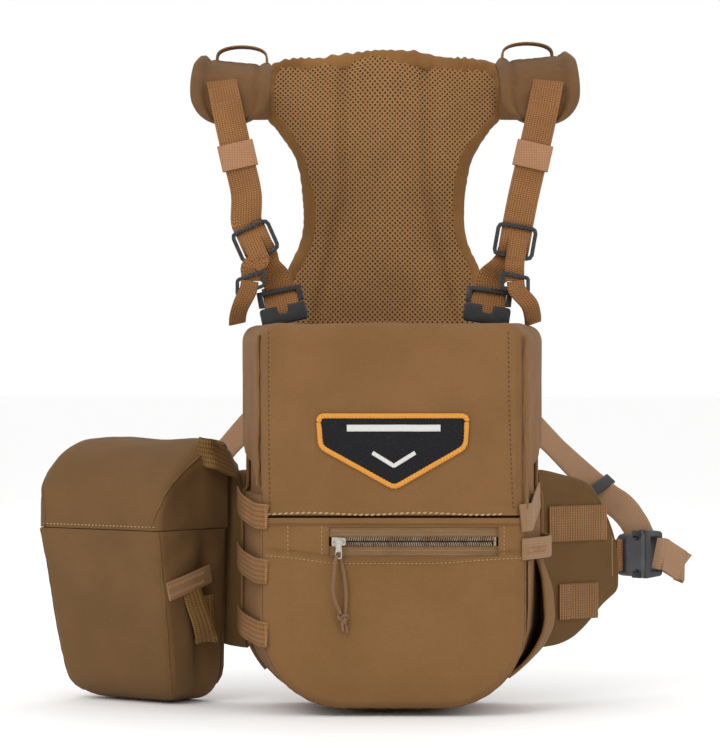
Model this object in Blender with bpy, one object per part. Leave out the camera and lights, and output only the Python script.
"""Binocular harness pack: a chest pack with a side pouch, two wings and a shoulder harness.

Units are metres and +Z is up. The origin is the centre of the flat rear face of the pack,
the face that lies on the wearer's chest. +X is to the right of somebody facing the pack
and the front of the pack looks along -Y.
"""

import math

import bmesh
import bpy
from mathutils import Matrix, Vector

# Driving dimensions: the pack
PACK_TOP = 0.121
PACK_BOTTOM = -0.122
PACK_FRONT = -0.1005
PACK_FRONT_HALF = 0.081
PACK_BACK_HALF = 0.097
CORNER_RADIUS = 0.060
FLOOR_EDGE = 0.020
BACK_THICK = 0.006
BODY_FRONT = -0.090
BODY_RIM = 0.112
SIDE_STEP = 0.013
CLOTH = 0.002
LID_CLEARANCE = 0.0035
LID_FRONT_THICK = 0.006
LID_WALL = 0.0028
SEAM_Z = 0.0008
GAP = 0.0004

# Driving dimensions: the zip
ZIP_LEFT = -0.040
ZIP_RIGHT = 0.065
ZIP_Z = -0.0152
ZIP_HALF_HEIGHT = 0.009
SLIDER_X = -0.034
CORD_RADIUS = 0.00125

# Driving dimensions: webbing, wings and buckles
WEBBING = 0.020
WEBBING_THICK = 0.0016
WING_ANGLE = math.radians(40)
WING_ROOT_X = 0.0971
WING_ROOT_Y = 0.0016
WING_LENGTH = 0.0683
WING_THICK = 0.004
BUCKLE_Z = -0.0315
BUCKLE_START = 0.0720
LEFT_BUCKLE_START = 0.0690
LEFT_BUCKLE_OUT = -0.0060
SOCKET_LENGTH = 0.0185
PLUG_LENGTH = 0.0165

# Driving dimensions: the pouch on the left wing
POUCH_ANGLE = math.radians(38)
POUCH_CORNER = Vector((-0.1043, 0.0024, 0.0))
POUCH_WIDTH = 0.106
POUCH_DEPTH = 0.072
POUCH_FOOT_WIDTH = 0.090
POUCH_FOOT_DEPTH = 0.050
POUCH_BOTTOM = -0.123
POUCH_SEAM = -0.0110
POUCH_TOP = 0.046

# Driving dimensions: the harness
HARNESS_X = -0.0045
YOKE_Y = 0.115
YOKE_TOP = 0.3047
YOKE_THICK = 0.006
SHOULDER_THICK = 0.007
HOOK_HALF_WIDTH = 0.0135
HOOK_HALF_HEIGHT = 0.0112
HOOK_BAR = 0.0026
SMALL_SLOPE = {"left": 0.34, "right": -0.20}

SIDES = (("left", -1.0), ("right", 1.0))

# ----------------------------------------------------------------------------- helpers


def clear_scene():
    """Empty the scene without touching the file."""
    for old in list(bpy.data.objects):
        bpy.data.objects.remove(old, do_unlink=True)


def finish(name, colour, roughness, metallic=0.0):
    """A plain Principled material."""
    made = bpy.data.materials.new(name)
    made.use_nodes = True
    surface = made.node_tree.nodes["Principled BSDF"]
    surface.inputs["Base Color"].default_value = (*colour, 1.0)
    surface.inputs["Roughness"].default_value = roughness
    surface.inputs["Metallic"].default_value = metallic
    return made


def add_object(name, shape, surface, origin=(0, 0, 0)):
    """Make an object from a bmesh in world coordinates, with its own copy of the material."""
    bmesh.ops.recalc_face_normals(shape, faces=shape.faces)
    bmesh.ops.translate(shape, verts=shape.verts, vec=-Vector(origin))
    mesh = bpy.data.meshes.new(name)
    shape.to_mesh(mesh)
    shape.free()
    mesh.shade_smooth()
    mesh.set_sharp_from_angle(angle=math.radians(35))
    own = surface.copy()
    own.name = f"{name}_surface"
    mesh.materials.append(own)
    made = bpy.data.objects.new(name, mesh)
    made.location = origin
    bpy.context.scene.collection.objects.link(made)
    return made


def loft(rings, looped=False):
    """A bmesh skinned over rings of equal length, capped unless the last joins the first."""
    shape = bmesh.new()
    rows = [[shape.verts.new(point) for point in ring] for ring in rings]
    pairs = list(zip(rows, rows[1:]))
    if looped:
        pairs.append((rows[-1], rows[0]))
    for low, high in pairs:
        for i in range(len(low)):
            j = (i + 1) % len(low)
            shape.faces.new((low[i], low[j], high[j], high[i]))
    if not looped:
        shape.faces.new(rows[0])
        shape.faces.new(rows[-1])
    return shape


def rounded_outline(corners, radii, steps=3):
    """The corners of a convex 2-D outline, each replaced by an arc."""
    outline = []
    for i, (corner, radius) in enumerate(zip(corners, radii)):
        here = Vector(corner)
        before = (Vector(corners[i - 1]) - here).normalized()
        after = (Vector(corners[(i + 1) % len(corners)]) - here).normalized()
        half = before.angle(after) / 2
        centre = here + (before + after).normalized() * radius / math.sin(half)
        start = here + before * radius / math.tan(half) - centre
        end = here + after * radius / math.tan(half) - centre
        first = math.atan2(start.y, start.x)
        turn = math.atan2(end.y, end.x) - first
        turn = (turn + math.pi) % (2 * math.pi) - math.pi
        for k in range(steps + 1):
            angle = first + turn * k / steps
            outline.append(centre + Vector((math.cos(angle), math.sin(angle))) * radius)
    return outline


def smooth_path(points, steps):
    """Points on a Catmull-Rom curve through the given ones."""
    points = [Vector(p) for p in points]
    ends = [2 * points[0] - points[1], *points, 2 * points[-1] - points[-2]]
    path = []
    for a, b, c, d in zip(ends, ends[1:], ends[2:], ends[3:]):
        for k in range(steps):
            t = k / steps
            pull = (c - a) * t + (2 * a - 5 * b + 4 * c - d) * t**2
            path.append(b + (pull + (3 * b - a - 3 * c + d) * t**3) / 2)
    return [*path, points[-1]]


def ribbon(path, across, width, thick, looped=False):
    """A flat strap swept along a path; across holds one width direction or one for each point."""
    path = [Vector(p) for p in path]
    if not isinstance(across, list):
        across = [across] * len(path)
    rings = []
    for i, (point, side) in enumerate(zip(path, across)):
        before = path[i - 1] if looped or i else point
        after = path[(i + 1) % len(path)] if looped or i + 1 < len(path) else point
        along = (after - before).normalized()
        side = (Vector(side) - along * along.dot(Vector(side))).normalized() * width / 2
        up = along.cross(side).normalized() * thick / 2
        rings.append([point + side + up, point - side + up, point - side - up, point + side - up])
    return loft(rings, looped)


def turned_directions(first, last, count):
    """Width directions that turn evenly from the first to the last."""
    return [Vector(first).lerp(Vector(last), k / (count - 1)) for k in range(count)]


def prism(outline, to_world, low, high, edge=0.0):
    """An outline in a plane, extruded from low to high, with its two faces pulled in by edge."""
    centre = sum((Vector(p) for p in outline), Vector((0, 0))) / len(outline)
    span = max((Vector(p) - centre).length for p in outline)

    def ring(height, pulled):
        share = 1 - pulled / span
        flat = [centre + (Vector(p) - centre) * share for p in outline]
        return [to_world(p.x, p.y, height) for p in flat]

    if not edge:
        return loft([ring(low, 0), ring(high, 0)])
    return loft([ring(low, edge), ring(low + edge, 0), ring(high - edge, 0), ring(high, edge)])


def box(low, high):
    """A plain box between two corners."""
    corners = [(low[0], low[1]), (high[0], low[1]), (high[0], high[1]), (low[0], high[1])]
    return loft([[(x, y, z) for x, y in corners] for z in (low[2], high[2])])


def cut(target, name, shape):
    """Subtract a hidden cutter from an object."""
    cutter = add_object(name, shape, target.data.materials[0])
    cutter.hide_render = True
    cutter.display_type = "WIRE"
    hole = target.modifiers.new(name, "BOOLEAN")
    hole.operation = "DIFFERENCE"
    hole.object = cutter


# ----------------------------------------------------------------------------- the pack


def edge_inset(depth, radius):
    """How far an edge of this radius is drawn in, at a depth under where it would be square."""
    left = max(radius - depth, 0.0)
    return radius - math.sqrt(radius**2 - left**2)


def side_x(y):
    """How far from the middle the pack's slanted side is at a depth."""
    slope = (PACK_BACK_HALF - PACK_FRONT_HALF) / (-BACK_THICK - PACK_FRONT)
    return PACK_FRONT_HALF + slope * (y - PACK_FRONT)


def pack_ring(z, inset, front=PACK_FRONT, back=-BACK_THICK - GAP, bottom=PACK_BOTTOM):
    """The pack's plan outline at a height, drawn in by an inset all round."""
    corner = edge_inset(z - bottom, CORNER_RADIUS)
    floor = edge_inset(z - bottom, FLOOR_EDGE) * 0.7
    y_front = front + inset + floor
    y_back = back - inset
    front_half = side_x(front) - corner - inset
    back_half = side_x(back) - corner - inset
    corners = [(-front_half, y_front), (front_half, y_front)]
    corners += [(back_half, y_back), (-back_half, y_back)]
    radius = max(0.006 - inset, 0.002)
    outline = rounded_outline(corners, [radius, radius, 0.012, 0.012])
    return [(p.x, p.y, z) for p in outline]


def side_point(share, z, out, sign=1.0):
    """A point beside the pack's side wall: share 0 at the front and 1 at the back."""
    front = Vector((side_x(BODY_FRONT), BODY_FRONT, z))
    back = Vector((side_x(-BACK_THICK), -BACK_THICK, z))
    normal = Vector((back.y - front.y, front.x - back.x, 0)).normalized()
    inset = edge_inset(z - PACK_BOTTOM, CORNER_RADIUS)
    point = front.lerp(back, share) + normal * out
    return Vector((sign * (point.x - inset), point.y, z))


def build_pack(cloth, webbing, elastic):
    """The fixed body of the pack."""

    def back_face(x, z, y):
        return (x, y, z)

    corners = [(-0.094, PACK_TOP - 0.003), (0.094, PACK_TOP - 0.003)]
    corners += [(0.094, PACK_BOTTOM + 0.004), (-0.094, PACK_BOTTOM + 0.004)]
    outline = rounded_outline(corners, [0.014, 0.014, 0.054, 0.054], 5)
    add_object("back_panel", prism(outline, back_face, -BACK_THICK, 0.0, 0.0012), cloth)

    low = [0.0, 0.003, 0.009, 0.018, 0.032, 0.060]
    outer = [pack_ring(PACK_BOTTOM + d, 0, BODY_FRONT) for d in low]
    outer += [pack_ring(SIDE_STEP, 0, BODY_FRONT)]
    outer += [pack_ring(SIDE_STEP, LID_CLEARANCE, BODY_FRONT - LID_CLEARANCE)]
    outer += [pack_ring(BODY_RIM, LID_CLEARANCE, BODY_FRONT - LID_CLEARANCE)]
    wall = LID_CLEARANCE + CLOTH
    inner = [pack_ring(BODY_RIM, wall, BODY_FRONT - LID_CLEARANCE)]
    inner_bottom = PACK_BOTTOM + CLOTH
    inner += [
        pack_ring(inner_bottom + d, wall, BODY_FRONT - LID_CLEARANCE, bottom=inner_bottom)
        for d in reversed(low)
    ]
    add_object("pack_body", loft(outer + inner), cloth)

    strip = box((-0.040, -0.0160, 0.1030), (0.040, -0.0124, 0.1112))
    add_object("back_magnet_strip", strip, cloth)

    for name, z, rise in (("upper", 0.0005, 0.008), ("middle", -0.0335, 0.006), ("lower", -0.0725, 0.004)):
        path = []
        for k in range(7):
            share = k / 6
            out = 0.0022 + 0.0025 * math.sin(math.pi * share)
            path.append(side_point(share, z + rise * share, out, -1))
        add_object(f"side_loop_{name}", ribbon(path, (0, 0, 1), 0.016, WEBBING_THICK), webbing)
    path = [side_point(0.05 + 0.10 * k, -0.0005 + 0.003 * k, 0.0022) for k in range(5)]
    add_object("elastic_tab", ribbon(path, (0, 0, 1), 0.018, WEBBING_THICK), elastic)


def build_front_pocket(cloth, tape, metal):
    """The front pocket, its zip and the panel that they are sewn to."""

    def tray_ring(y, inset):
        half = PACK_FRONT_HALF - inset
        low = PACK_BOTTOM + 0.004 + inset
        corners = [(-half, low), (half, low), (half, -0.0022 - inset), (-half, -0.0022 - inset)]
        outline = rounded_outline(corners, [0.050 - inset, 0.050 - inset, 0.004, 0.004], 4)
        return [(p.x, y, p.y) for p in outline]

    back = BODY_FRONT - GAP
    rings = [tray_ring(PACK_FRONT + CLOTH, 0.004), tray_ring(back, 0.004), tray_ring(back, 0.0)]
    rings += [tray_ring(PACK_FRONT + 0.002, 0.0), tray_ring(PACK_FRONT, 0.002)]
    panel = add_object("front_pocket", loft(rings), cloth)
    low = (ZIP_LEFT, PACK_FRONT - 0.01, ZIP_Z - ZIP_HALF_HEIGHT)
    high = (ZIP_RIGHT, PACK_FRONT + 0.004, ZIP_Z + ZIP_HALF_HEIGHT)
    cut(panel, "zip_window", box(low, high))

    front = PACK_FRONT + 0.0004
    low = (ZIP_LEFT + GAP, front, ZIP_Z - ZIP_HALF_HEIGHT + GAP)
    high = (ZIP_RIGHT - GAP, front + 0.0010, ZIP_Z + ZIP_HALF_HEIGHT - GAP)
    sheet = add_object("zipper_tape", box(low, high), tape)
    low = (ZIP_LEFT + 0.003, front - 0.01, ZIP_Z - 0.0028)
    high = (ZIP_RIGHT - 0.003, front + 0.01, ZIP_Z + 0.0028)
    cut(sheet, "tape_slot", box(low, high))

    first = ZIP_LEFT + 0.0034
    last = ZIP_RIGHT - 0.0034
    count = 30
    rings = []
    for k in range(2 * count + 1):
        x = first + (last - first) * k / (2 * count)
        swell = 0.0004 if k % 2 else 0.0
        rings.append(
            [
                (x, front - 0.0002 - swell, ZIP_Z - 0.0020),
                (x, front - 0.0002 - swell, ZIP_Z + 0.0020),
                (x, front + 0.0014, ZIP_Z + 0.0020),
                (x, front + 0.0014, ZIP_Z - 0.0020),
            ]
        )
    add_object("zipper_teeth", loft(rings), metal)

    def slider_face(x, z, y):
        return (SLIDER_X + x, y, ZIP_Z + z)

    corners = [(-0.0045, -0.0032), (0.0045, -0.0024), (0.0045, 0.0024), (-0.0045, 0.0032)]
    outline = rounded_outline(corners, [0.001] * 4, 2)
    plate = prism(outline, slider_face, PACK_FRONT - 0.0036, PACK_FRONT - 0.0007, 0.0005)
    add_object("zipper_slider", plate, metal, (SLIDER_X, PACK_FRONT - 0.002, ZIP_Z))

    pivot = Vector((SLIDER_X, PACK_FRONT - 0.0052, ZIP_Z + 0.001))
    corners = [(-0.0022, -0.0115), (0.0022, -0.0115), (0.0016, 0.0012), (-0.0016, 0.0012)]
    outline = rounded_outline(corners, [0.0012] * 4, 2)

    def tab_face(x, z, y):
        return pivot + Vector((x, y, z))

    tab = add_object("zipper_pull_tab", prism(outline, tab_face, -0.0006, 0.0006), metal, pivot)
    eye = box(pivot + Vector((-0.0013, -0.01, -0.0106)), pivot + Vector((0.0013, 0.01, -0.0073)))
    cut(tab, "pull_eye", eye)
    return pivot


def tube(name, points, radius, surface, steps=4):
    """A round cord along a smooth curve through the points."""
    path = smooth_path(points, steps)
    curve = bpy.data.curves.new(name, "CURVE")
    curve.dimensions = "3D"
    curve.bevel_depth = radius
    curve.bevel_resolution = 2
    curve.use_fill_caps = True
    spline = curve.splines.new("POLY")
    spline.points.add(len(path) - 1)
    for point, place in zip(spline.points, path):
        point.co = (*place, 1.0)
    curve.materials.append(surface)
    made = bpy.data.objects.new(name, curve)
    bpy.context.scene.collection.objects.link(made)
    return made


def build_zip_pull(pivot, cord):
    """The cord through the pull tab's eye and the knot that closes it."""
    eye = pivot + Vector((0.0, 0.0, -0.0089))
    knot = Vector((-0.0313, pivot.y, -0.0625))
    left = [knot + Vector((-0.0017, -0.0010, 0.0042)), eye + Vector((-0.0032, -0.0026, -0.024))]
    left += [eye + Vector((-0.0022, -0.0029, -0.008))]
    turn = [eye + Vector((0.0, -0.0022, 0.0000)), eye + Vector((0.0, 0.0, -0.0001))]
    right = [eye + Vector((0.0006, 0.0021, -0.0026)), eye + Vector((0.0030, 0.0006, -0.010))]
    right += [eye + Vector((0.0046, 0.0002, -0.024)), knot + Vector((0.0017, 0.0006, 0.0042))]
    tube("zip_pull_cord", left + turn + right, CORD_RADIUS * 0.9, cord, 4)
    shape = bmesh.new()
    bmesh.ops.create_uvsphere(shape, u_segments=10, v_segments=8, radius=0.0036)
    bmesh.ops.translate(shape, verts=shape.verts, vec=knot)
    tail = [v for v in shape.verts if v.co.z < knot.z - 0.003]
    for vert in tail:
        vert.co.z -= 0.006
    add_object("zip_pull_knot", shape, cord, knot)


def build_lid(cloth, patch):
    """The lid: upper front, top and two side flaps that fold forward on the front seam."""
    hinge = (0.0, PACK_FRONT - 0.0005, SEAM_Z)
    levels = [(SEAM_Z + 0.0020, 0.0), (PACK_TOP - 0.008, 0.0)]
    levels += [(PACK_TOP - 0.003, 0.001), (PACK_TOP, 0.005)]
    shape = loft([pack_ring(z, inset) for z, inset in levels])
    lid = add_object("main_lid", shape, cloth, hinge)

    def inside(z):
        return pack_ring(z, LID_WALL, PACK_FRONT + LID_FRONT_THICK - LID_WALL, 0.03)

    cut(lid, "lid_inside", loft([inside(-0.02), inside(PACK_TOP - 0.003)]))
    corners = [(-0.0945, -0.01), (0.02, -0.01), (0.02, 0.052), (-0.0945, SIDE_STEP + 0.002)]
    wedge = loft([[(x, y, z) for y, z in corners] for x in (-0.12, 0.12)])
    cut(lid, "lid_side_trim", wedge)

    def patch_face(x, z, y):
        return (x, y, z)

    corners = [(-0.0475, 0.0635), (0.0465, 0.0635), (0.0450, 0.0430)]
    corners += [(0.0005, 0.0175), (-0.0460, 0.0430)]
    outline = rounded_outline(corners, [0.003] * 5, 2)
    shape = prism(outline, patch_face, PACK_FRONT - 0.0024, PACK_FRONT - GAP, 0.0006)
    add_object("lid_patch", shape, patch, hinge)
    strip = box((-0.040, -0.0160, 0.1124), (0.040, -0.0124, 0.1176))
    add_object("lid_magnet_strip", strip, cloth, hinge)


def build_side_pocket(stretch, elastic):
    """The stretch pocket on the right side and the elastic band along its mouth."""

    def ring(z, inset, bulge):
        low = side_point(0.06, z, GAP + inset)
        high = side_point(0.80, z, GAP + inset)
        along = (high - low).normalized()
        out = Vector((-along.y, along.x, 0)) * -1
        low += along * inset
        high -= along * inset
        depth = bulge - 2 * inset
        corners = [low, low + out * depth * 0.6, low.lerp(high, 0.35) + out * depth]
        corners += [low.lerp(high, 0.75) + out * depth, high + out * depth * 0.4, high]
        return [(p.x, p.y, z) for p in corners]

    outer = [(-0.104, 0.005), (-0.090, 0.0095), (-0.062, 0.0125), (-0.0275, 0.0105)]
    rings = [ring(z, 0.0, bulge) for z, bulge in outer]
    inner = [(-0.0275, 0.0105), (-0.062, 0.0125), (-0.090, 0.0095)]
    rings += [ring(z, 0.0012, bulge) for z, bulge in inner]
    add_object("side_pocket", loft(rings), stretch)
    low = ring(-0.0271, 0.0, 0.0112)
    high = ring(-0.0135, 0.0, 0.0100)
    rings = [low, high, ring(-0.0135, 0.0014, 0.0100), ring(-0.0271, 0.0014, 0.0112)]
    add_object("side_pocket_binding", loft(rings, looped=True), elastic)


# ----------------------------------------------------------------------------- the wings


def wing_point(sign, along, z, out):
    """A place on a wing: along it from its root, at a height, and out from its middle plane."""
    x = WING_ROOT_X + along * math.cos(WING_ANGLE) + out * math.sin(WING_ANGLE)
    y = WING_ROOT_Y + along * math.sin(WING_ANGLE) - out * math.cos(WING_ANGLE)
    return Vector((sign * x, y, z))


def build_wings(padded, webbing):
    """The padded wings behind the pack and the webbing rows on the right one."""
    edge = [(0.0, 0.0265), (0.20, 0.0240), (0.565, 0.0180), (0.73, 0.0090), (0.95, -0.020)]
    edge += [(1.0, -0.048), (0.965, -0.056), (0.79, -0.064), (0.627, -0.0737)]
    edge += [(0.427, -0.083), (0.22, -0.0875), (0.0, -0.089)]
    corners = [(share * WING_LENGTH, z) for share, z in edge]
    for name, sign in SIDES:

        def wing_face(along, z, out, sign=sign):
            return wing_point(sign, along, z, out)

        shape = prism(corners, wing_face, -WING_THICK / 2, WING_THICK / 2, 0.001)
        add_object(f"wing_{name}", shape, padded)
    out = WING_THICK / 2 + GAP + WEBBING_THICK / 2
    for name, low, high, z in (("upper", 0.006, 0.055, -0.009), ("lower", 0.0145, 0.047, -0.0600)):
        path = [wing_point(1, low + (high - low) * k / 4, z, out) for k in range(5)]
        add_object(f"wing_webbing_{name}", ribbon(path, (0, 0, 1), 0.0235, WEBBING_THICK), webbing)
    stub_start = WING_LENGTH + 0.0008
    path = [wing_point(1, stub_start, BUCKLE_Z, 0.0), wing_point(1, BUCKLE_START - GAP, BUCKLE_Z, 0.0)]
    add_object("buckle_stub_webbing", ribbon(path, (0, 0, 1), 0.0215, 0.0028), webbing)


def build_side_buckles(plastic, webbing):
    """Side-release buckles: a hollow socket on each wing's tip and the plug that clips into it."""
    for name, sign in SIDES:

        def to_world(a, z, o, sign=sign):
            return wing_point(sign, a, BUCKLE_Z + z, o + (LEFT_BUCKLE_OUT if sign < 0 else 0))

        start = BUCKLE_START if sign > 0 else LEFT_BUCKLE_START
        mouth = start + SOCKET_LENGTH
        corners = [(start, -0.0130), (mouth, -0.0165), (mouth, 0.0165), (start, 0.0130)]
        outline = rounded_outline(corners, [0.004, 0.003, 0.003, 0.004], 3)
        shell = prism(outline, to_world, -0.0048, 0.0048, 0.0012)
        socket = add_object(f"side_buckle_socket_{name}", shell, plastic)
        hollow = [(start + 0.003, -0.0120), (mouth + 0.01, -0.0120)]
        hollow += [(mouth + 0.01, 0.0120), (start + 0.003, 0.0120)]
        cut(socket, f"socket_hollow_{name}", prism(hollow, to_world, -0.0028, 0.0028))
        near, far = start + 0.006, start + 0.0145
        window = [(near, 0.0095), (far, 0.0095), (far, 0.03), (near, 0.03)]
        window = rounded_outline(window, [0.003, 0.003, 0.001, 0.001])
        for end, turn in (("upper", 1.0), ("lower", -1.0)):
            side = [(p.x, p.y * turn) for p in window]
            cut(socket, f"socket_window_{name}_{end}", prism(side, to_world, -0.01, 0.01))

        plug_start = mouth + GAP
        origin = to_world(plug_start, 0, 0)
        corners = [(plug_start, -0.0165), (plug_start + PLUG_LENGTH, -0.0150)]
        corners += [(plug_start + PLUG_LENGTH, 0.0150), (plug_start, 0.0165)]
        outline = rounded_outline(corners, [0.002] * 4, 2)
        shape = prism(outline, to_world, -0.0042, 0.0042, 0.001)
        plug = add_object(f"side_buckle_plug_{name}", shape, plastic, origin)
        slot = [(plug_start + 0.005, -0.0116), (plug_start + 0.0125, -0.0116)]
        slot += [(plug_start + 0.0125, 0.0116), (plug_start + 0.005, 0.0116)]
        cut(plug, f"plug_slot_{name}", prism(slot, to_world, -0.01, 0.01))
        for end, turn in (("upper", 1.0), ("lower", -1.0)):
            low, high = sorted((0.0065 * turn, 0.0112 * turn))
            tip, foot = start + 0.0045, plug_start + 0.002
            arm = [(tip, low), (foot, low), (foot, high), (tip, high)]
            prong = add_object(f"prong_{name}_{end}", prism(arm, to_world, -0.0022, 0.0022), plastic)
            prong.hide_render = True
            prong.display_type = "WIRE"
            join = plug.modifiers.new(prong.name, "BOOLEAN")
            join.operation = "UNION"
            join.object = prong
    tail_start = BUCKLE_START + SOCKET_LENGTH + PLUG_LENGTH + 0.0020
    path = []
    for k in range(6):
        drop, back = 0.0018 * k, 0.0006 * k
        path.append(wing_point(1, tail_start + 0.0028 * k, BUCKLE_Z - drop, 0.0068 - back))
    add_object("buckle_tail", ribbon(path, (0, 0, 1), WEBBING, 0.0032), webbing, path[0])


def strap_route(sign):
    """Where a side strap runs, from the yoke's lower corner to its buckle's plug."""
    points = [(0.0600, YOKE_Y - 0.0065, 0.1080), (0.0800, 0.1010, 0.0730), (0.1010, 0.0935, 0.0495)]
    points += [(0.1400, 0.0825, 0.0112), (0.1555, 0.0750, -0.0013), (0.1640, 0.0740, -0.0125)]
    points += [(0.1696, 0.0750, -0.0235)]
    shift = Vector((math.sin(WING_ANGLE), -math.cos(WING_ANGLE), 0)) * (LEFT_BUCKLE_OUT if sign < 0 else 0)
    route = [Vector(p) + (shift if i > 2 else Vector()) for i, p in enumerate(points)]
    return [Vector((sign * p.x, p.y, p.z)) for p in route]


def strap_line(sign):
    """The side strap's smooth centre line and its width direction at each point."""
    path = smooth_path(strap_route(sign), 3)
    first, last = Vector((0.60 * sign, 0.25, 0.75)), Vector((0.12 * sign, 0.10, 1.0))
    bunched = Vector((0.62 * sign, 0.72, 0.45))
    half = len(path) // 2
    directions = turned_directions(first, bunched, half)
    return path, directions + turned_directions(bunched, last, len(path) - half)


def build_side_straps(elastic, plastic):
    """The elastic side straps and the sliding keeper on the right one."""
    for name, sign in SIDES:
        path, across = strap_line(sign)
        add_object(f"side_strap_{name}", ribbon(path, across, WEBBING, WEBBING_THICK), elastic)
    path, across = strap_line(1)
    spot = 9
    middle = path[spot]
    along = (path[spot + 1] - path[spot - 1]).normalized()
    side = (across[spot] - along * along.dot(across[spot])).normalized()
    up = along.cross(side)

    def to_world(a, b, c):
        return middle + side * a + up * b + along * c

    corners = [(-0.013, -0.0044), (0.013, -0.0044), (0.013, 0.0044), (-0.013, 0.0044)]
    outline = rounded_outline(corners, [0.0015] * 4, 2)
    keeper = add_object("strap_slider", prism(outline, to_world, -0.0040, 0.0040), plastic, middle)
    hole = [(-0.0112, -0.0030), (0.0112, -0.0030), (0.0112, 0.0030), (-0.0112, 0.0030)]
    cut(keeper, "slider_hole", prism(hole, to_world, -0.02, 0.02))


# ----------------------------------------------------------------------------- the pouch


def pouch_point(across, deep, z):
    """A place in the pouch: across from its right rear edge, and deep towards its front."""
    left = Vector((-math.cos(POUCH_ANGLE), math.sin(POUCH_ANGLE), 0))
    front = Vector((-math.sin(POUCH_ANGLE), -math.cos(POUCH_ANGLE), 0))
    return POUCH_CORNER + left * across + front * deep + Vector((0, 0, z))


def pouch_ring(z, inset, deep_start=0.0038, bottom=POUCH_BOTTOM):
    """The pouch's plan outline at a height, drawn in by an inset."""
    share = min(max((z - POUCH_BOTTOM) / (POUCH_SEAM - POUCH_BOTTOM), 0), 1)
    width = POUCH_FOOT_WIDTH + (POUCH_WIDTH - POUCH_FOOT_WIDTH) * share**0.7
    depth = POUCH_FOOT_DEPTH + (POUCH_DEPTH - POUCH_FOOT_DEPTH) * share
    drawn = inset + edge_inset(z - bottom, 0.018)
    middle = POUCH_WIDTH / 2
    low, high = middle - width / 2 + drawn, middle + width / 2 - drawn
    corners = [(low, deep_start + inset), (high, deep_start + inset)]
    corners += [(high, depth - drawn), (low, depth - drawn)]
    outline = rounded_outline(corners, [0.003, 0.003, 0.010, 0.010], 3)
    return [pouch_point(p.x, p.y, z) for p in outline]


def build_pouch(padded, webbing, elastic):
    """The side pouch: a panel on the wing, a bucket in front of it and a lid that folds forward."""
    corners = [(0.006, POUCH_BOTTOM + 0.006), (POUCH_WIDTH - 0.006, POUCH_BOTTOM + 0.006)]
    corners += [(POUCH_WIDTH - 0.002, POUCH_TOP - 0.001), (0.002, POUCH_TOP - 0.001)]
    outline = rounded_outline(corners, [0.016, 0.016, 0.006, 0.006], 4)

    def panel_face(across, z, deep):
        return pouch_point(across, deep, z)

    add_object("pouch_back_panel", prism(outline, panel_face, 0.0006, 0.0034), padded)

    low = [0.0, 0.003, 0.009, 0.018, 0.050]
    rings = [pouch_ring(POUCH_BOTTOM + d, 0) for d in low] + [pouch_ring(POUCH_SEAM - 0.0005, 0)]
    floor = POUCH_BOTTOM + CLOTH
    rings += [pouch_ring(POUCH_SEAM - 0.0005, CLOTH)]
    rings += [pouch_ring(floor + d, CLOTH, bottom=floor) for d in reversed(low)]
    add_object("pouch_body", loft(rings), padded)

    def profile(inset, rear, foot):
        slope = [(rear, foot), (rear, POUCH_TOP - inset), (0.012, POUCH_TOP - inset)]
        slope += [(0.030, 0.0385 - inset), (0.050, 0.0260 - inset), (0.066 - inset, 0.0120 - inset)]
        slope += [(POUCH_DEPTH - 0.001 - inset, -0.001 - inset), (POUCH_DEPTH - inset, foot)]
        return slope

    def slices(widths, inset, rear, foot):
        cuts = []
        for across, share in widths:
            edge = profile(inset, rear, foot)
            drawn = [(rear + (deep - rear) * share, foot + (z - foot) * share) for deep, z in edge]
            cuts.append([pouch_point(across, deep, z) for deep, z in drawn])
        return cuts

    hinge = pouch_point(POUCH_WIDTH / 2, POUCH_DEPTH + 0.0004, POUCH_SEAM)
    foot = POUCH_SEAM + 0.0010
    widths = [(0.0, 0.90), (0.003, 0.97), (0.012, 1.0), (POUCH_WIDTH - 0.012, 1.0)]
    widths += [(POUCH_WIDTH - 0.003, 0.97), (POUCH_WIDTH, 0.90)]
    lid = add_object("pouch_lid", loft(slices(widths, 0.0, 0.0038, foot)), padded, hinge)
    widths = [(0.0025, 0.93), (0.012, 1.0), (POUCH_WIDTH - 0.012, 1.0), (POUCH_WIDTH - 0.0025, 0.93)]
    cut(lid, "pouch_lid_inside", loft(slices(widths, 0.0025, -0.02, POUCH_SEAM - 0.02)))

    def gusset(share, z, out):
        width = pouch_ring(z, 0)
        near, far = width[0], width[-1]
        along = (far - near).normalized()
        side = Vector((-along.y, along.x, 0))
        if side.x < 0:
            side = -side
        return near.lerp(far, share) + side * out

    path = [gusset(0.15 + 0.14 * k, -0.037 - 0.003 * k, 0.0020) for k in range(6)]
    add_object("pouch_elastic_tab", ribbon(path, (0, 0, 1), 0.0115, WEBBING_THICK), elastic)
    path = [gusset(0.35, -0.054, 0.0022), gusset(0.35, -0.068, 0.0062), gusset(0.36, -0.077, 0.0080)]
    path += [gusset(0.37, -0.083, 0.0058), gusset(0.37, -0.081, 0.0034)]
    towards_front = pouch_point(0, 1, 0) - pouch_point(0, 0, 0)
    loop = ribbon(smooth_path(path, 3), towards_front, 0.014, WEBBING_THICK)
    add_object("pouch_webbing_loop", loop, webbing)
    path = [pouch_point(-0.0032, 0.0030 + 0.0110 * k, 0.030 - 0.0040 * k) for k in range(3)]
    add_object("pouch_top_loop", ribbon(path, (0, 0, 1), 0.020, WEBBING_THICK), webbing)


# ----------------------------------------------------------------------------- the harness


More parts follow.
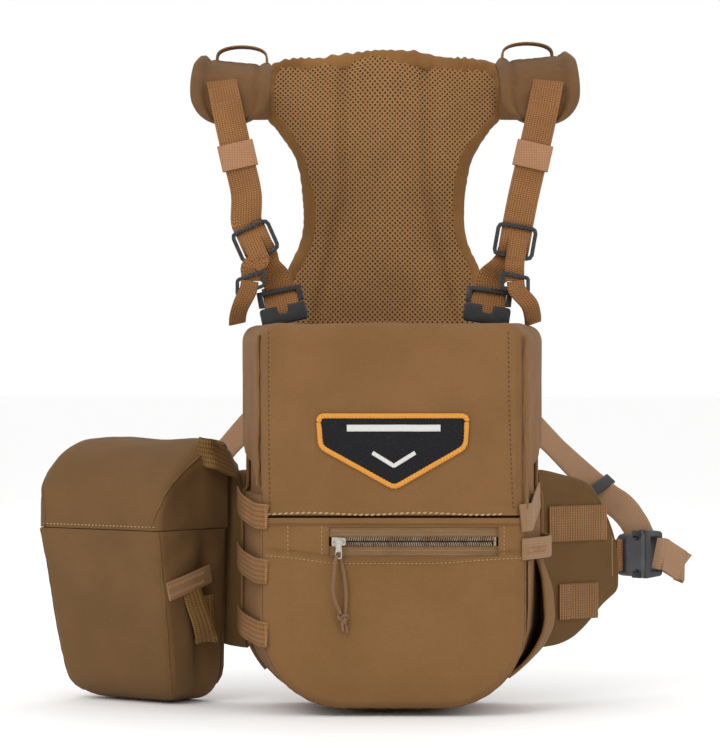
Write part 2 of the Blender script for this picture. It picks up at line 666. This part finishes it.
def build_yoke(mesh_cloth):
    """The back yoke: a flat spacer-mesh pad with hollowed arm sides."""
    right = [(0.0660, 0.100), (0.0720, 0.1256), (0.0653, 0.155), (0.0550, 0.178), (0.0530, 0.205)]
    right += [(0.0570, 0.232), (0.0626, 0.245), (0.0720, 0.259), (0.0790, 0.268)]
    right += [(0.0790, 0.290), (0.0730, 0.302)]
    crown = [(0.055, YOKE_TOP), (0.0, YOKE_TOP - 0.001), (-0.055, YOKE_TOP)]
    left = [(-x, z) for x, z in reversed(right)]
    outline = right + crown + left

    def to_world(x, z, y):
        return (HARNESS_X + x, YOKE_Y + y, z)

    add_object("yoke_pad", prism(outline, to_world, -YOKE_THICK / 2, YOKE_THICK / 2, 0.001), mesh_cloth)


def turned_face(centre, lean):
    """A function from a place on a leaning flat piece, and its height there, to the world."""
    turn = Matrix.Rotation(-lean, 3, "Y")

    def face(across, up, out):
        return centre + turn @ Vector((across, out, up))

    return face


def rectangle(half_width, low, high):
    """The corners of a rectangle that is centred sideways."""
    return [(-half_width, low), (half_width, low), (half_width, high), (-half_width, high)]


def build_shoulder_pad(name, at, sign, padded, webbing):
    """The padded strap over one shoulder and the grab loop on top of it."""
    route = [at(0.0940, YOKE_Y - 0.0080, 0.262), at(0.0950, 0.1025, 0.283), at(0.0965, 0.080, 0.2955)]
    route += [at(0.0980, 0.050, 0.2975), at(0.1000, 0.022, 0.2915)]
    route += [at(0.1020, 0.004, 0.276), at(0.1020, 0.000, 0.256)]
    pad = ribbon(smooth_path(route, 2), (1, 0, 0.10 * sign), 0.050, SHOULDER_THICK)
    add_object(f"shoulder_strap_{name}", pad, padded)
    arch = []
    for k in range(9):
        angle = math.pi * k / 8
        arch.append(at(0.100 - 0.019 * math.cos(angle), 0.046, 0.3048 + 0.0064 * math.sin(angle)))
    add_object(f"grab_loop_{name}", ribbon(arch, (0, 1, 0), 0.014, 0.0014), webbing)


def build_shoulder_webbing(name, at, sign, webbing, elastic):
    """The webbing that hangs from the padded strap, with the elastic keeper round it."""
    down = [at(0.1065, 0.0075, 0.2890), at(0.1035, -0.0055, 0.270), at(0.1000, -0.0070, 0.250)]
    down += [at(0.0955, -0.0080, 0.2300), at(0.0900, -0.0085, 0.2060), at(0.0870, -0.0088, 0.1890)]
    across = Vector((1, 0, 0.22 * sign))
    hang = ribbon(smooth_path(down, 3), across, WEBBING, WEBBING_THICK)
    add_object(f"shoulder_webbing_{name}", hang, webbing)
    place, along = down[3], (down[4] - down[2]).normalized()
    side = (across - along * along.dot(across)).normalized()
    up = along.cross(side)

    def keeper_face(a, b, c):
        return place + side * a + up * b + along * c

    ring = rectangle(0.0118, -0.0026, 0.0026)
    band = add_object(f"webbing_keeper_{name}", prism(ring, keeper_face, -0.0085, 0.0085), elastic, place)
    hole = rectangle(0.0106, -0.0014, 0.0014)
    cut(band, f"keeper_hole_{name}", prism(hole, keeper_face, -0.02, 0.02))


def build_gate_hook(name, at, sign, metal):
    """The flat frame with a gate in its lower bar, which joins the upper and lower webbing."""
    face = turned_face(at(0.0840, -0.0095, 0.1745), math.radians(24 if sign < 0 else -10))
    corners = rectangle(HOOK_HALF_WIDTH, -HOOK_HALF_HEIGHT, HOOK_HALF_HEIGHT)
    outline = rounded_outline(corners, [0.004] * 4, 2)
    pivot = face(0, HOOK_HALF_HEIGHT - HOOK_BAR / 2, 0)
    frame = add_object(f"gate_hook_{name}", prism(outline, face, -0.0014, 0.0014), metal, pivot)
    window = rectangle(HOOK_HALF_WIDTH - HOOK_BAR, HOOK_BAR - HOOK_HALF_HEIGHT, HOOK_HALF_HEIGHT - HOOK_BAR)
    hole = rounded_outline(window, [0.0018] * 4, 2)
    cut(frame, f"hook_hole_{name}", prism(hole, face, -0.01, 0.01))
    low = -HOOK_HALF_HEIGHT - 0.01
    gate = [(-0.001, low), (0.003, low), (0.003, -0.004), (-0.001, -0.004)]
    cut(frame, f"hook_gate_{name}", prism(gate, face, -0.01, 0.01))


def build_chest_buckle(name, at, sign, plastic, webbing):
    """The flat chest buckle, the insert that slides out of it and the webbing above."""
    low = [at(0.0790, -0.0140, 0.1660), at(0.0750, -0.0135, 0.1585), at(0.0690, -0.0105, 0.1485)]
    strap = ribbon(smooth_path(low, 3), (1, 0, -0.55 * sign), 0.018, WEBBING_THICK)
    add_object(f"lower_webbing_{name}", strap, webbing)
    face = turned_face(at(0.0660, -0.0050, 0.1292), math.radians(12 if sign < 0 else -8))
    outline = rounded_outline(rectangle(0.0152, -0.0080, 0.0040), [0.002] * 4, 2)
    shape = prism(outline, face, -0.0040, 0.0040, 0.0008)
    buckle = add_object(f"chest_buckle_{name}", shape, plastic)
    mouth = rectangle(0.0118, -0.0050, 0.02)
    cut(buckle, f"chest_mouth_{name}", prism(mouth, face, -0.0024, 0.0024))
    notch = [(-0.0022, -0.0010), (0.0022, -0.0010), (0.0036, 0.0012), (0.0036, 0.02), (-0.0036, 0.02)]
    notch += [(-0.0036, 0.0012)]
    cut(buckle, f"chest_notch_{name}", prism(notch, face, -0.01, 0.0))
    corners = [(-0.0112, -0.0044), (0.0112, -0.0044), (0.0112, 0.0044), (0.0150, 0.0048)]
    corners += [(0.0146, 0.0152), (-0.0146, 0.0152), (-0.0150, 0.0048), (-0.0112, 0.0044)]
    shape = prism(corners, face, -0.0019, 0.0019)
    insert = add_object(f"chest_insert_{name}", shape, plastic, face(0, 0.0044, 0))
    cut(insert, f"insert_slot_{name}", prism(rectangle(0.0112, 0.0062, 0.0124), face, -0.01, 0.01))


def build_small_hook(name, at, sign, metal, webbing):
    """The small hook at the end of the outer webbing, and the tether that hangs from it."""
    centre = at(0.0868 if sign < 0 else 0.0835, -0.016, 0.1475)
    slope = SMALL_SLOPE[name]

    def face(across, up, out):
        return centre + Vector((across, out, up + slope * across))

    outline = rounded_outline(rectangle(0.0098, -0.0060, 0.0060), [0.002] * 4, 2)
    shape = prism(outline, face, -0.0010, 0.0010)
    hook = add_object(f"small_hook_{name}", shape, metal, face(0, 0.0046, 0))
    cut(hook, f"small_hole_{name}", prism(rectangle(0.0074, -0.0034, 0.0034), face, -0.01, 0.01))
    gate = [(-0.001, -0.02), (0.002, -0.02), (0.002, -0.001), (-0.001, -0.001)]
    cut(hook, f"small_gate_{name}", prism(gate, face, -0.01, 0.01))
    ends = [at(0.0920, -0.0185, 0.1405), at(0.0950, -0.0165, 0.1340), at(0.0955, -0.0100, 0.1248)]
    add_object(f"tether_{name}", ribbon(smooth_path(ends, 3), (1, 0, 0), 0.011, 0.0014), webbing)


def build_shoulders(padded, webbing, elastic, metal, plastic):
    """Everything on both sides of the harness between the yoke and the pack."""
    for name, sign in SIDES:

        def at(x, y, z, sign=sign):
            return Vector((HARNESS_X + sign * x, y, z))

        build_shoulder_pad(name, at, sign, padded, webbing)
        build_shoulder_webbing(name, at, sign, webbing, elastic)
        build_gate_hook(name, at, sign, metal)
        build_chest_buckle(name, at, sign, plastic, webbing)
        build_small_hook(name, at, sign, metal, webbing)


def main():
    """Build every piece of the harness pack."""
    clear_scene()
    cloth = finish("pack_cloth", (0.26, 0.14, 0.058), 0.85)
    padded = finish("padded_cloth", (0.20, 0.105, 0.043), 0.88)
    webbing = finish("webbing", (0.33, 0.17, 0.07), 0.8)
    elastic = finish("elastic", (0.30, 0.17, 0.08), 0.7)
    mesh_cloth = finish("spacer_mesh", (0.36, 0.22, 0.10), 0.9)
    tape = finish("zip_tape", (0.14, 0.11, 0.08), 0.8)
    patch = finish("patch", (0.02, 0.02, 0.026), 0.95)
    plastic = finish("buckle_plastic", (0.02, 0.02, 0.022), 0.45)
    metal = finish("black_metal", (0.05, 0.048, 0.045), 0.4, 0.9)
    cord = finish("cord", (0.45, 0.34, 0.22), 0.8)
    build_pack(cloth, webbing, elastic)
    pivot = build_front_pocket(cloth, tape, metal)
    build_zip_pull(pivot, cord)
    build_lid(cloth, patch)
    build_side_pocket(padded, elastic)
    build_wings(padded, webbing)
    build_side_buckles(plastic, webbing)
    build_side_straps(elastic, plastic)
    build_pouch(padded, webbing, elastic)
    build_yoke(mesh_cloth)
    build_shoulders(padded, webbing, elastic, metal, plastic)


main()
